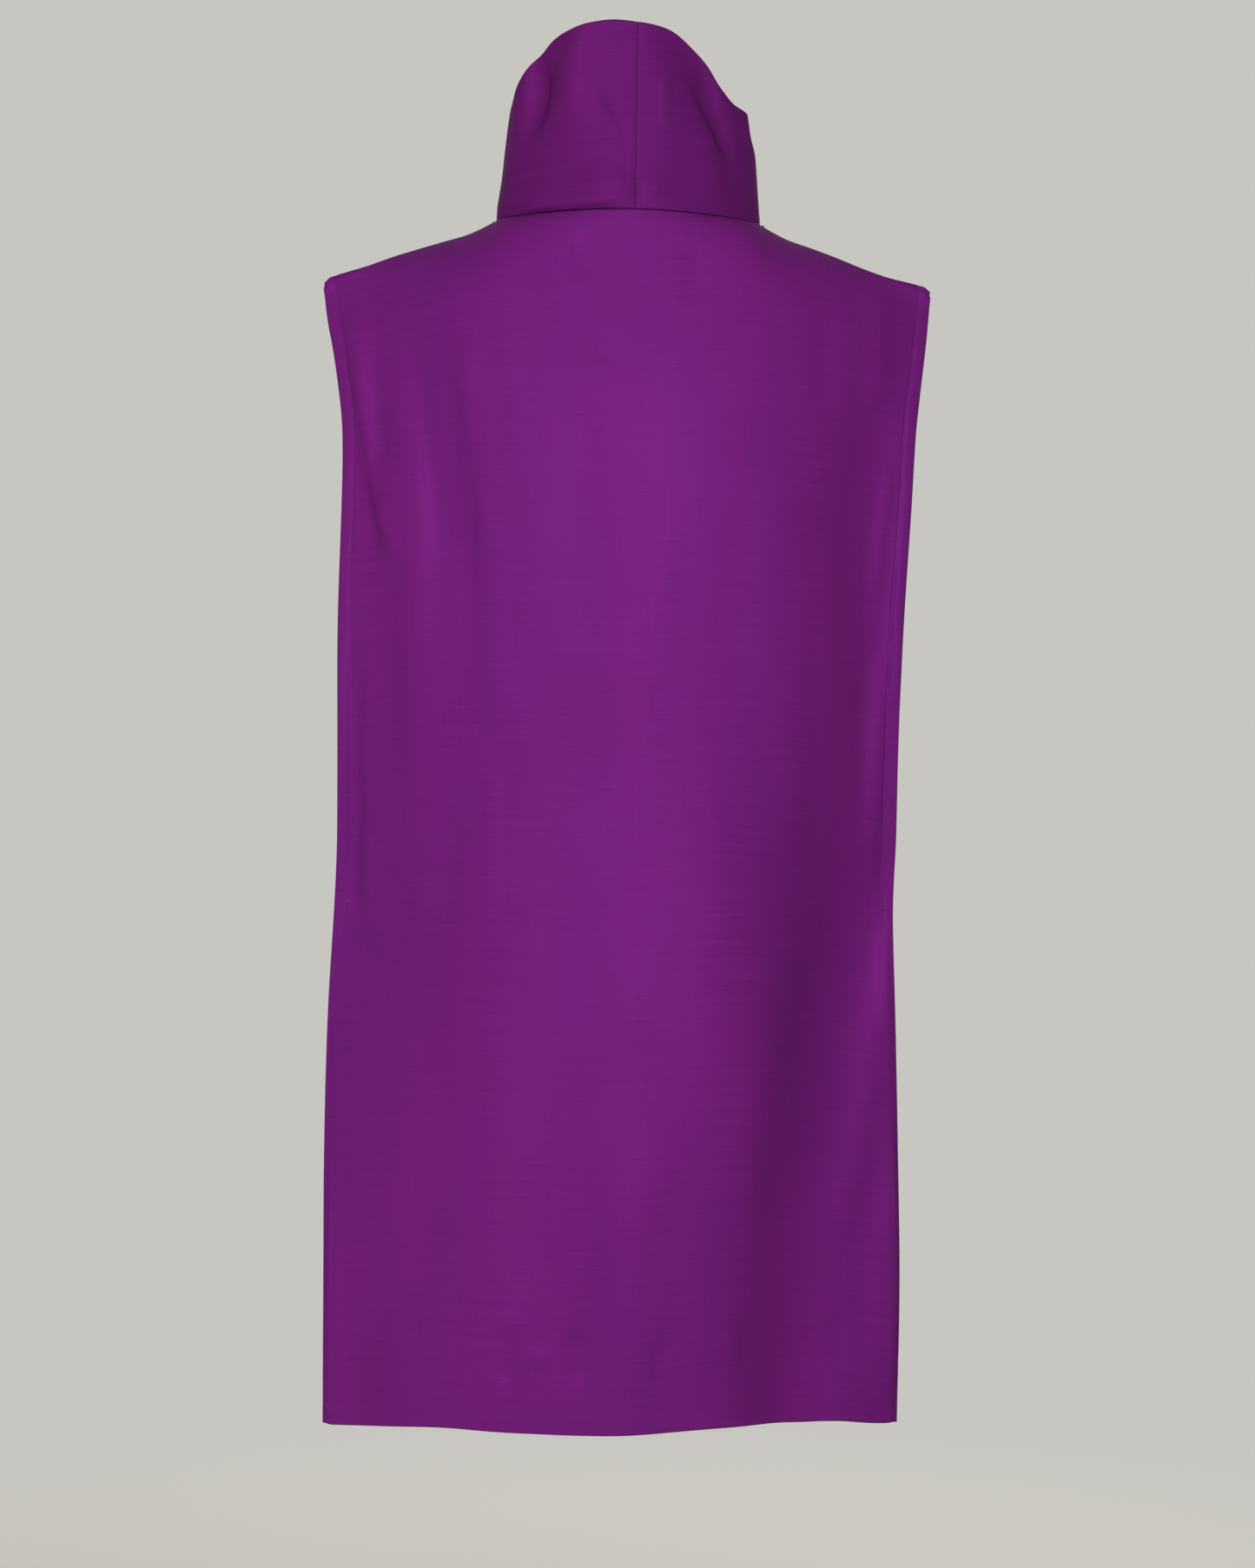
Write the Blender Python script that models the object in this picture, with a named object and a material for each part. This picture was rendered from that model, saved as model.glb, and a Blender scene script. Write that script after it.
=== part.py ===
"""Sleeveless shift dress of slubbed silk with a standing funnel collar, hollow, as it hangs on a standing wearer.

The wearer faces +Y, so the back of the dress faces -Y and +X is the wearer's right. The origin is on the centre line,
level with the two neck points, where the shoulder seams meet the collar.
Each piece is a wall of cloth lofted through sections that are worked out from the sizes below.
"""

import math
from bisect import bisect_right
from collections import namedtuple

import bmesh
import bpy
from mathutils import Vector

# Every size in this script is in millimetres, and MM turns it into Blender's metres
MM = 0.001

# Cloth: one layer of silk, the doubled silk of a turned edge, and the folded and stiffened silk of the collar
SILK = 1.2
SILK_TURNED = 2.4
COLLAR_SILK = 2.0
SEAM_GAP = 0.3

# Neck seam: an oval that is highest at the centre back and lowest at the centre front. The collar's own seam stands a
# little to the wearer's right of the centre back
NECK_HALF_WIDTH = 98.5
COLLAR_SEAM_ACROSS = 5.0
NECK_BACK_DEPTH = 72.0
NECK_FRONT_DEPTH = 78.0
NECK_BACK_RISE = 6.0
NECK_FRONT_DROP = 51.0

# Turned edges: how far the cloth of an armhole and of the hem is turned inside, and the step where it ends
ARMHOLE_TURNING = 12.0
HEM_TURNING = 49.0
TURNING_STEP = 1.5

# Slits: each armhole runs from the shoulder tip down to this height, where the side seam starts
SLIT_END = -511.0

# Sides: across a section the cloth falls from the centre to the side edge as this power of the distance, so it is
# flat in the middle, and it levels out again towards the edge, where the two panels meet at a point
SECTION_POWER = 4.0
SIDE_LEVELLING = 3.0

# Shoulders: the drop over which the cloth rounds down from the seam, at the shoulder and at the centre of the neck
SHOULDER_ROUNDING = 48.0
NECK_ROUNDING = 115.0
SHOULDER_ROUNDNESS = 2.0
NECK_ROUNDNESS = 1.15
COLUMN_BLEND = 130.0

# Folds fade out towards both their ends, over this share of their length, and near a seam or a side edge
FOLD_END_SHARE = 1 / 3
FOLD_FADE_BELOW_SEAM = 40.0
FOLD_FADE_FROM_SIDE = 18.0
COLLAR_FOLD_FADE_RISE = 0.12
COLLAR_FOLD_FADE_TURN = 6.0

# Mesh: steps across half a panel, down a panel and round the collar, which meets each panel point for point
NECK_STEPS = 9
SHOULDER_STEPS = 6
ROUNDING_STEPS = 5
DROP_STEPS = 27
HEM_STEPS = 2
COLLAR_STEPS = 4 * NECK_STEPS
COLLAR_SEAM_TURN = math.degrees(math.asin(COLLAR_SEAM_ACROSS / NECK_HALF_WIDTH))
COLLAR_RISE_STEPS = 9
ARC_SAMPLES = 48
SHARP_EDGE_DEGREES = 50.0

PURPLE = (0.17, 0.014, 0.19)
DEEP_PURPLE = (0.14, 0.012, 0.16)

# The shoulder seams: their heights on the wearer's left and right, by distance from the centre line
ShoulderPoint = namedtuple("ShoulderPoint", "across left right")
SHOULDER_LINE = [
    ShoulderPoint(98.5, 0.0, 0.0),
    ShoulderPoint(117.0, -9.5, -10.0),
    ShoulderPoint(150.0, -20.0, -21.5),
    ShoulderPoint(178.0, -28.5, -31.9),
    ShoulderPoint(198.0, -35.0, -37.3),
    ShoulderPoint(220.0, -41.7, -42.3),
    ShoulderPoint(228.0, -46.0, -46.0),
]

# Sections of the body, from the shoulder tips to the hem: half widths on the wearer's left and right, how far the
# back and the front stand out from the side line, and half the gap between their armhole edges
Section = namedtuple("Section", "height left right back front gap")
SECTIONS = [
    Section(-46.0, 228.0, 227.5, 86.0, 90.0, 0.0),
    Section(-72.0, 224.5, 225.5, 93.0, 98.0, 7.0),
    Section(-100.0, 218.5, 222.4, 99.0, 106.0, 17.0),
    Section(-150.0, 211.0, 217.0, 104.0, 115.0, 28.0),
    Section(-200.0, 210.0, 214.6, 105.0, 119.0, 33.0),
    Section(-300.0, 212.0, 210.0, 102.0, 115.0, 36.0),
    Section(-400.0, 212.0, 208.4, 98.0, 108.0, 28.0),
    Section(-470.0, 213.0, 209.2, 97.0, 105.0, 11.0),
    Section(-511.0, 215.0, 208.9, 98.0, 103.0, 0.0),
    Section(-600.0, 219.5, 213.0, 99.0, 102.0, 0.0),
    Section(-700.0, 221.3, 217.0, 97.0, 100.0, 0.0),
    Section(-800.0, 221.0, 220.3, 93.0, 96.0, 0.0),
    Section(-915.0, 220.5, 220.5, 87.0, 91.0, 0.0),
]

# The hem's height by the distance from the centre line, from the left side seam to the right one. The threads of a
# panel are spread at the hem as they are at this level
HEM_LEVEL = -905.0
HemPoint = namedtuple("HemPoint", "across height")
BACK_HEM = [
    HemPoint(-221.0, -915.0),
    HemPoint(-205.0, -914.7),
    HemPoint(-180.0, -909.9),
    HemPoint(-150.0, -903.8),
    HemPoint(-120.0, -900.3),
    HemPoint(-90.0, -899.6),
    HemPoint(0.0, -899.6),
    HemPoint(60.0, -895.1),
    HemPoint(90.0, -894.4),
    HemPoint(120.0, -897.1),
    HemPoint(145.0, -900.0),
    HemPoint(175.0, -901.3),
    HemPoint(205.0, -906.5),
    HemPoint(221.0, -907.3),
]
FRONT_HEM = [
    HemPoint(-221.0, -915.0),
    HemPoint(-200.0, -913.5),
    HemPoint(-150.0, -907.0),
    HemPoint(-90.0, -903.5),
    HemPoint(60.0, -901.0),
    HemPoint(150.0, -903.0),
    HemPoint(200.0, -906.3),
    HemPoint(221.0, -907.3),
]

# Folds: soft ridges (out above 0) and troughs (below 0) along a line from one point of a panel to another
Fold = namedtuple("Fold", "x_from z_from x_to z_to half_width out")
BACK_FOLDS = [
    Fold(-128.0, -60.0, -94.0, -340.0, 34.0, -9.0),
    Fold(-98.0, -260.0, -92.0, -640.0, 32.0, -6.0),
    Fold(-172.0, -80.0, -140.0, -460.0, 26.0, 5.0),
    Fold(-199.0, -85.0, -166.0, -300.0, 16.0, -6.0),
    Fold(180.0, -70.0, 178.0, -480.0, 36.0, -8.0),
    Fold(196.0, -240.0, 113.0, -1200.0, 58.0, -17.0),
    Fold(196.0, -300.0, 186.0, -560.0, 14.0, 4.0),
    Fold(189.0, -55.0, 184.0, -125.0, 18.0, -4.0),
    Fold(-150.0, -560.0, -160.0, -980.0, 40.0, 4.0),
]
FRONT_FOLDS = [
    Fold(-118.0, -110.0, -104.0, -520.0, 36.0, -8.0),
    Fold(126.0, -100.0, 112.0, -560.0, 36.0, -9.0),
    Fold(-176.0, -100.0, -150.0, -430.0, 26.0, 5.0),
    Fold(178.0, -90.0, 156.0, -470.0, 26.0, 5.0),
    Fold(-112.0, -460.0, -88.0, -980.0, 40.0, -9.0),
    Fold(118.0, -500.0, 104.0, -980.0, 38.0, -10.0),
    Fold(-186.0, -480.0, -170.0, -980.0, 30.0, 5.0),
    Fold(184.0, -480.0, 172.0, -980.0, 30.0, 5.0),
    Fold(-20.0, -620.0, -34.0, -980.0, 46.0, -4.0),
]

# The collar's top edge by the turn in degrees from the centre back, towards the wearer's right above 0: its height,
# and how far it stands outside the rim's own oval
RIM_HALF_WIDTH = 88.5
RIM_BACK_DEPTH = 67.0
RIM_FRONT_DEPTH = 77.0
RimPoint = namedtuple("RimPoint", "turn height out")
COLLAR_RIM = [
    RimPoint(-180.0, 22.0, 0.0),
    RimPoint(-150.0, 29.0, 0.0),
    RimPoint(-120.0, 51.0, 1.0),
    RimPoint(-100.0, 73.0, 1.5),
    RimPoint(-80.0, 88.5, 0.5),
    RimPoint(-68.0, 101.5, 0.5),
    RimPoint(-56.0, 114.0, 0.0),
    RimPoint(-42.0, 128.5, -0.5),
    RimPoint(-26.0, 138.0, 0.5),
    RimPoint(-10.0, 142.8, 0.5),
    RimPoint(6.0, 140.8, 0.0),
    RimPoint(18.0, 137.3, 0.0),
    RimPoint(30.0, 125.5, 0.0),
    RimPoint(43.0, 108.5, -0.5),
    RimPoint(54.0, 92.0, -1.5),
    RimPoint(64.0, 84.5, 1.5),
    RimPoint(76.0, 81.8, 2.5),
    RimPoint(92.0, 77.0, 1.5),
    RimPoint(120.0, 53.0, 0.0),
    RimPoint(150.0, 31.0, 0.0),
    RimPoint(180.0, 22.0, 0.0),
]
COLLAR_LEAN = 1.35

# Folds of the collar: from one turn and share of its height to another, half as wide as this many millimetres
CollarFold = namedtuple("CollarFold", "turn_from rise_from turn_to rise_to half_width out")
COLLAR_FOLDS = [
    CollarFold(-46.0, 1.15, -50.0, 0.42, 13.0, -5.0),
    CollarFold(30.0, 1.10, 62.0, 0.30, 15.0, -4.0),
    CollarFold(-95.0, 0.10, 30.0, 0.10, 11.0, 2.5),
    CollarFold(-108.0, 1.10, -116.0, 0.25, 16.0, -4.0),
    CollarFold(118.0, 1.10, 128.0, 0.25, 16.0, -4.0),
    CollarFold(172.0, 1.10, 176.0, 0.20, 22.0, -5.0),
]

# A panel is told by the side of the body that it covers
Panel = namedtuple("Panel", "side depth hem folds neck_depth neck_lift")
BACK = Panel(-1.0, "back", BACK_HEM, BACK_FOLDS, NECK_BACK_DEPTH, NECK_BACK_RISE)
FRONT = Panel(1.0, "front", FRONT_HEM, FRONT_FOLDS, NECK_FRONT_DEPTH, -NECK_FRONT_DROP)


def follow(points, at):
    """The value at a place on a smooth curve through (place, value) points, level beyond its ends."""
    places = [place for place, _ in points]
    if at <= places[0]:
        return points[0][1]
    if at >= places[-1]:
        return points[-1][1]
    low = bisect_right(places, at) - 1
    span = places[low + 1] - places[low]
    share = (at - places[low]) / span

    def slope(index):
        before = points[max(index - 1, 0)]
        after = points[min(index + 1, len(points) - 1)]
        return (after[1] - before[1]) / (after[0] - before[0])

    start, end = points[low][1], points[low + 1][1]
    return (
        start * (1 + 2 * share) * (1 - share) ** 2
        + end * (3 - 2 * share) * share**2
        + slope(low) * span * share * (1 - share) ** 2
        - slope(low + 1) * span * share**2 * (1 - share)
    )


def ease(share):
    """A smooth step from 0 to 1, level at both ends."""
    share = min(max(share, 0.0), 1.0)
    return share * share * (3 - 2 * share)


def fold_height(run, reach, half_width, out):
    """How far one straight fold pushes the cloth out, at a place that lies reach away from the fold's start."""
    length = math.hypot(*run)
    along = (reach[0] * run[0] + reach[1] * run[1]) / length**2
    aside = abs(reach[0] * run[1] - reach[1] * run[0]) / length
    if not 0 < along < 1 or aside > half_width:
        return 0.0
    ends = ease(along / FOLD_END_SHARE) * ease((1 - along) / FOLD_END_SHARE)
    return out * ends * math.cos(math.pi / 2 * aside / half_width) ** 2


def panel_relief(folds, x, z):
    """How far the folds push the cloth out at a place on a panel."""
    return sum(
        fold_height(
            (fold.x_to - fold.x_from, fold.z_to - fold.z_from),
            (x - fold.x_from, z - fold.z_from),
            fold.half_width,
            fold.out,
        )
        for fold in folds
    )


# The body's sections

HalfSection = namedtuple("HalfSection", "width gap depth")


def half_section(panel, hand, height):
    """A panel's half of the section at a height, on the wearer's left (-1) or right (1)."""

    def column(name):
        return follow([(row.height, getattr(row, name)) for row in reversed(SECTIONS)], height)

    gap = max(column("gap"), 0.0) if height > SLIT_END else 0.0
    return HalfSection(column("right" if hand > 0 else "left"), gap, column(panel.depth))


def out_at(section, across):
    """Distance out from the side line at a distance from the centre line."""
    share = min(across / section.width, 1.0)
    fall = share**SECTION_POWER * (1 + SIDE_LEVELLING * (1 - share))
    return section.depth + (section.gap - section.depth) * fall


def across_at(section, inset, share):
    """Distance from the centre line of a thread that runs inset millimetres in from the edge, plus a share of the
    cloth that is left up to the centre."""
    places = [section.width * (1 - step / ARC_SAMPLES) for step in range(ARC_SAMPLES + 1)]
    points = [(across, out_at(section, across)) for across in places]
    lengths = [0.0]
    for near, far in zip(points, points[1:]):
        lengths.append(lengths[-1] + math.dist(near, far))
    wanted = inset + share * (lengths[-1] - inset)
    index = min(bisect_right(lengths, wanted), ARC_SAMPLES) - 1
    part = (wanted - lengths[index]) / (lengths[index + 1] - lengths[index])
    return points[index][0] + part * (points[index + 1][0] - points[index][0])


# Neck and shoulders


def neck_point(turn):
    """A point of the neck seam. The turn is in radians from the centre back, towards +X."""
    facing = math.cos(turn)
    panel = BACK if facing > 0 else FRONT
    return Vector(
        (NECK_HALF_WIDTH * math.sin(turn), -panel.neck_depth * facing, panel.neck_lift * facing * facing)
    )


def shoulder_height(hand, across):
    """The height of a shoulder seam."""
    return follow([(row.across, row.right if hand > 0 else row.left) for row in SHOULDER_LINE], across)


def top_edge_point(panel, hand, across):
    """A point of a panel's top edge: the neck seam near the centre, and the shoulder seam beyond it."""
    if across < NECK_HALF_WIDTH:
        turn = math.asin(across / NECK_HALF_WIDTH)
        seam = neck_point(turn if panel is BACK else math.pi - turn)
        return Vector((hand * seam.x, seam.y, seam.z))
    return Vector((hand * across, panel.side * SEAM_GAP / 2, shoulder_height(hand, across)))


# A column is one thread of the cloth, from the top edge to the hem
Column = namedtuple("Column", "hand top inset share")


def panel_columns():
    """The threads of a panel from the wearer's left edge to the right one. Those that start along a shoulder share
    one half of the cloth as it hangs, and those that start along the neck the other."""
    tip = SHOULDER_LINE[-1].across
    band = ARMHOLE_TURNING + TURNING_STEP
    half = [(tip, 0.0, 0.0), (tip - ARMHOLE_TURNING, ARMHOLE_TURNING, 0.0)]
    for step in range(SHOULDER_STEPS + 1):
        part = step / SHOULDER_STEPS
        half.append((tip - band - part * (tip - band - NECK_HALF_WIDTH), band, part / 2))
    for step in range(1, NECK_STEPS + 1):
        part = step / NECK_STEPS
        half.append((NECK_HALF_WIDTH * math.cos(math.pi / 2 * part), band, (1 + part) / 2))
    left = [Column(-1.0, *row) for row in half]
    right = [Column(1.0, *row) for row in half[:-1]]
    return left + right[::-1]


def hem_height(panel, column):
    """The height of the hem below a column."""
    section = half_section(panel, column.hand, HEM_LEVEL)
    return follow(panel.hem, column.hand * across_at(section, column.inset, column.share))


def column_drops(length, rounding):
    """How far below the top edge each row of a column lies, denser over the shoulder's rounding."""
    drops = [
        rounding * (1 - math.cos(math.pi / 2 * step / ROUNDING_STEPS)) for step in range(ROUNDING_STEPS + 1)
    ]
    straight = length - HEM_TURNING - TURNING_STEP - rounding
    drops += [rounding + straight * step / DROP_STEPS for step in range(1, DROP_STEPS + 1)]
    drops += [length - HEM_TURNING * (1 - step / HEM_STEPS) for step in range(HEM_STEPS + 1)]
    return drops


def panel_point(panel, column, top, drop, rounding, roundness):
    """The outer face of the cloth at a drop below the column's top edge point."""
    height = top.z - drop
    section = half_section(panel, column.hand, height)
    hung = across_at(section, column.inset, column.share) / section.width
    at_top = abs(top.x) / SHOULDER_LINE[-1].across
    across = section.width * (at_top + (hung - at_top) * ease(drop / COLUMN_BLEND))
    out = out_at(section, across)
    fade = ease(drop / FOLD_FADE_BELOW_SEAM) * ease((section.width - across) / FOLD_FADE_FROM_SIDE)
    out += fade * panel_relief(panel.folds, column.hand * across, height)
    rounded = (1 - (1 - min(drop / rounding, 1.0)) ** 2) ** (1 / roundness)
    start = abs(top.y)
    y = start + (max(out, SEAM_GAP / 2) - start) * rounded
    return Vector((column.hand * across, panel.side * y, height))


def panel_faces(panel):
    """The outer and inner points of a panel, row by row from the top edge to the hem."""
    outer_columns = []
    for column in panel_columns():
        top = top_edge_point(panel, column.hand, column.top)
        neck = ease(column.top / NECK_HALF_WIDTH)
        rounding = NECK_ROUNDING + (SHOULDER_ROUNDING - NECK_ROUNDING) * neck
        roundness = NECK_ROUNDNESS + (SHOULDER_ROUNDNESS - NECK_ROUNDNESS) * neck
        length = top.z - hem_height(panel, column)
        drops = column_drops(length, rounding)
        outer_columns.append(
            [top] + [panel_point(panel, column, top, drop, rounding, roundness) for drop in drops[1:]]
        )
    outer = [list(row) for row in zip(*outer_columns)]
    return outer, panel_inside(panel, outer)


def panel_inside(panel, outer):
    """The inner face: one layer of silk in from the outer one, or two where the cloth is turned back. It is turned
    back at the hem and all down the sides, as the armhole's edge above and as the side seam's allowance below."""
    columns = panel_columns()
    last_row, last_column = len(outer) - 1, len(columns) - 1
    inner = []
    for row in range(last_row + 1):
        line = []
        for index, column in enumerate(columns):
            point = outer[row][index]
            normal = surface_normal(outer, row, index) * -panel.side
            if row == 0 and column.top < NECK_HALF_WIDTH:
                normal = Vector((point.x, point.y, 0.0)).normalized()
            elif row == 0:
                normal = Vector((normal.x, 0.0, normal.z)).normalized()
            elif index in (0, last_column) and point.z <= SLIT_END:
                level = Vector((normal.x, 0.0, normal.z))
                normal = level / level.length_squared
            at_side = index in (0, 1, last_column - 1, last_column)
            at_hem = row >= last_row - HEM_STEPS
            inside = point - normal * (SILK_TURNED if at_side or at_hem else SILK)
            inside.y = panel.side * max(panel.side * inside.y, SEAM_GAP / 2)
            line.append(inside)
        inner.append(line)
    return inner


def surface_normal(points, row, index):
    """The unit normal of a lofted face at one of its points, towards -Y where its rows run down and along +X."""
    above, below = points[max(row - 1, 0)][index], points[min(row + 1, len(points) - 1)][index]
    left, right = points[row][max(index - 1, 0)], points[row][min(index + 1, len(points[row]) - 1)]
    return (right - left).cross(above - below).normalized()


# Collar


def collar_rim_point(turn):
    """A point of the collar's top edge. The turn is in degrees from the centre back."""
    height = follow([(row.turn, row.height) for row in COLLAR_RIM], turn)
    out = follow([(row.turn, row.out) for row in COLLAR_RIM], turn)
    angle = math.radians(turn)
    depth = RIM_BACK_DEPTH if math.cos(angle) > 0 else RIM_FRONT_DEPTH
    return Vector(
        ((RIM_HALF_WIDTH + out) * math.sin(angle), -(depth + out) * math.cos(angle), height)
    )


def collar_relief(turn, rise, height):
    """How far the collar's folds push its cloth out, at a turn and a share of the height there."""
    arc = math.radians(1) * (NECK_HALF_WIDTH + NECK_BACK_DEPTH) / 2
    relief = sum(
        fold_height(
            ((fold.turn_to - fold.turn_from) * arc, (fold.rise_to - fold.rise_from) * height),
            ((turn - fold.turn_from) * arc, (rise - fold.rise_from) * height),
            fold.half_width,
            fold.out,
        )
        for fold in COLLAR_FOLDS
    )
    from_seam = abs(turn - COLLAR_SEAM_TURN)
    return relief * ease(rise / COLLAR_FOLD_FADE_RISE) * ease(from_seam / COLLAR_FOLD_FADE_TURN)


def collar_point(turn, rise):
    """A point of the collar's outer face, at a turn and a share of the way up from the neck seam to the rim."""
    seam = neck_point(math.radians(turn)) + Vector((0, 0, SEAM_GAP))
    rim = collar_rim_point(turn)
    lean = rise**COLLAR_LEAN
    point = seam + (rim - seam) * rise
    point.x = seam.x + (rim.x - seam.x) * lean
    point.y = seam.y + (rim.y - seam.y) * lean
    outward = Vector((point.x, point.y, 0)).normalized()
    return point + outward * collar_relief(turn, rise, rim.z - seam.z)


def collar_faces():
    """The outer and inner points of the collar, row by row from the neck seam to its top edge."""
    turns = [360 * step / COLLAR_STEPS for step in range(1, COLLAR_STEPS + 1)]
    turns = [COLLAR_SEAM_TURN, *turns, 360 + COLLAR_SEAM_TURN]
    signed_turns = [turn if turn <= 180 else turn - 360 for turn in turns]
    outer = [
        [collar_point(turn, step / COLLAR_RISE_STEPS) for turn in signed_turns]
        for step in range(COLLAR_RISE_STEPS + 1)
    ]
    for line in outer:
        line[0].x = COLLAR_SEAM_ACROSS + SEAM_GAP / 2
        line[-1].x = COLLAR_SEAM_ACROSS - SEAM_GAP / 2
    inner = []
    for row, line in enumerate(outer):
        inside = []
        for index, point in enumerate(line):
            normal = -surface_normal(outer, row, index)
            if row == 0:
                normal = Vector((point.x, point.y, 0.0))
            if index in (0, len(line) - 1):
                normal.x = 0.0
            inside.append(point - normal.normalized() * COLLAR_SILK)
        inner.append(inside)
    return outer, inner


# Making the walls


def make_silk(name, colour):
    """Silk: deep colour with a soft sheen."""
    material = bpy.data.materials.new(name)
    material.use_nodes = True
    shader = material.node_tree.nodes["Principled BSDF"]
    shader.inputs["Base Color"].default_value = (*colour, 1.0)
    shader.inputs["Roughness"].default_value = 0.45
    shader.inputs["Metallic"].default_value = 0.0
    material.diffuse_color = (*colour, 1.0)
    return material


def make_wall(name, faces, material, collection):
    """One closed wall of cloth between an outer and an inner grid of points."""
    outer, inner = faces
    solid = bmesh.new()
    grids = [[[solid.verts.new(point * MM) for point in line] for line in grid] for grid in (outer, inner)]
    out_grid, in_grid = grids
    rows, columns = len(outer) - 1, len(outer[0]) - 1
    for row in range(rows):
        for column in range(columns):
            corners = [(row, column), (row, column + 1), (row + 1, column + 1), (row + 1, column)]
            solid.faces.new([out_grid[r][c] for r, c in corners])
            solid.faces.new([in_grid[r][c] for r, c in reversed(corners)])
    border = [(0, column) for column in range(columns)]
    border += [(row, columns) for row in range(rows)]
    border += [(rows, column) for column in range(columns, 0, -1)]
    border += [(row, 0) for row in range(rows, 0, -1)]
    for (row, column), (next_row, next_column) in zip(border, border[1:] + border[:1]):
        solid.faces.new(
            (
                out_grid[row][column],
                in_grid[row][column],
                in_grid[next_row][next_column],
                out_grid[next_row][next_column],
            )
        )
    bmesh.ops.recalc_face_normals(solid, faces=solid.faces)
    mesh = bpy.data.meshes.new(name)
    solid.to_mesh(mesh)
    solid.free()
    mesh.materials.append(material)
    mesh.shade_smooth()
    mesh.set_sharp_from_angle(angle=math.radians(SHARP_EDGE_DEGREES))
    wall = bpy.data.objects.new(name, mesh)
    collection.objects.link(wall)
    return wall


def main():
    for old in list(bpy.data.objects):
        bpy.data.objects.remove(old)
    collection = bpy.data.collections.new("shift_dress")
    bpy.context.scene.collection.children.link(collection)
    silk = make_silk("silk", PURPLE)
    collar_silk = make_silk("collar_silk", DEEP_PURPLE)
    make_wall("back_panel", panel_faces(BACK), silk, collection)
    make_wall("front_panel", panel_faces(FRONT), silk, collection)
    make_wall("collar", collar_faces(), collar_silk, collection)


main()
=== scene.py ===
"""How the sleeveless silk shift dress looks: slubbed purple silk, turned and stitched edges, seams, creases.

Metres, in the frame of the solids: the wearer faces +Y, so the back of the dress faces -Y, and +X is the
wearer's right. Tables of creases and slubs are in millimetres.
"""

import math
from collections import Counter, namedtuple

import bpy
import numpy as np
from mathutils import Matrix, Vector, noise


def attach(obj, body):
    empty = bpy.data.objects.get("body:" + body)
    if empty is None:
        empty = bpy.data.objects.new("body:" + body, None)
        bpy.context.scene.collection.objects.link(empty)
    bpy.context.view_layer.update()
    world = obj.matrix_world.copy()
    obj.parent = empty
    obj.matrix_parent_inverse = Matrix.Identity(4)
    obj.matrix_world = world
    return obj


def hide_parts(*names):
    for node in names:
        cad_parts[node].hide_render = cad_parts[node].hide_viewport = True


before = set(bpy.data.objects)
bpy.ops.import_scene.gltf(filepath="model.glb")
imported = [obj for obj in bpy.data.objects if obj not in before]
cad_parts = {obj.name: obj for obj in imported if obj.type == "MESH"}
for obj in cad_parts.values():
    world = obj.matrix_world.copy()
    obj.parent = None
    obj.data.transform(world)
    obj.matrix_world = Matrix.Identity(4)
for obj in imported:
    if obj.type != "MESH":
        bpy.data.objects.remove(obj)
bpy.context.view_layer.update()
MM = 0.001


# Back panel
# One piece of slubbed silk, cut with both shoulders, half of each armhole slit and the back hem. Its sides
# and its hem are turned inside and stitched, and its top edge goes into the neck and shoulder seams.

SILK_THICKNESS = 0.0006
FOLD_RADIUS = 0.0008
SEAM_RADIUS = 0.0004
SIDE_TURNING = 0.012
HEM_TURNING = 0.049
BAND_STITCH_INSET = 0.0105
SLIT_END = -0.511
MIDDLE_GAP = 0.0001

# Distances from a turned edge where the cloth gets a row of its own, close together round the fold
SIDE_DISTANCES = [0.0, 0.00023, 0.0008, 0.0018, 0.0032, 0.005, 0.0068, 0.0084, 0.0096, 0.0105, 0.0114]
HEM_DISTANCES = [
    0.044, 0.039, 0.034, 0.029, 0.0245, 0.02, 0.015, 0.011,
    0.008, 0.0055, 0.0035, 0.002, 0.0008, 0.00023, 0.0,
]

# Depths of the rows that go down into a seam, the deepest first
SEAM_DEPTHS = [0.0045, 0.003, 0.0018, 0.001]

# The solid's own rows and columns: its rounded shoulder, its hem, and its turned side with the step beside it
SHOULDER_ROWS = 5
HEM_ROWS = 2
SIDE_COLUMNS = 2
STEP_STOPS = [1.0, 1.5]

# How many rows and columns the cloth has for each of the solid's
FINER_SHOULDER = 6
FINER_ROWS = 7
FINER_COLUMNS = 4

# What tells the outer face of a solid, its side edges and its steps apart
FLAT_ENOUGH = math.radians(45)
SAME_POINT = 0.00002
STEP_HEIGHT = 0.0016
SEAM_REACH = 0.001
STEEP_SIDE = 2.0
collar_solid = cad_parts["collar"]


def outer_face(node):
    """A new object with only the outer face of one solid wall of cloth, its triangles joined."""
    bpy.ops.object.select_all(action="DESELECT")
    node.select_set(True)
    bpy.context.view_layer.objects.active = node
    bpy.ops.object.duplicate()
    face = bpy.context.object
    bpy.ops.object.mode_set(mode="EDIT")
    bpy.ops.mesh.select_mode(type="FACE")
    bpy.ops.mesh.select_all(action="SELECT")
    bpy.ops.mesh.remove_doubles(threshold=SAME_POINT)
    bpy.ops.mesh.select_all(action="DESELECT")
    bpy.ops.object.mode_set(mode="OBJECT")
    outermost = max(face.data.polygons, key=lambda polygon: abs(polygon.center.y))
    outermost.select = True
    bpy.ops.object.mode_set(mode="EDIT")
    bpy.ops.mesh.faces_select_linked_flat(sharpness=FLAT_ENOUGH)
    bpy.ops.object.mode_set(mode="OBJECT")

    # The edge that faces the collar isn't part of a panel's outer face
    for polygon in face.data.polygons:
        if polygon.select and node != collar_solid:
            nearest = collar_solid.closest_point_on_mesh(polygon.center)[1]
            polygon.select = (nearest - polygon.center).length > SEAM_REACH
    bpy.ops.object.mode_set(mode="EDIT")
    bpy.ops.mesh.select_all(action="INVERT")
    bpy.ops.mesh.delete(type="FACE")
    bpy.ops.object.mode_set(mode="OBJECT")
    return face


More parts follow.
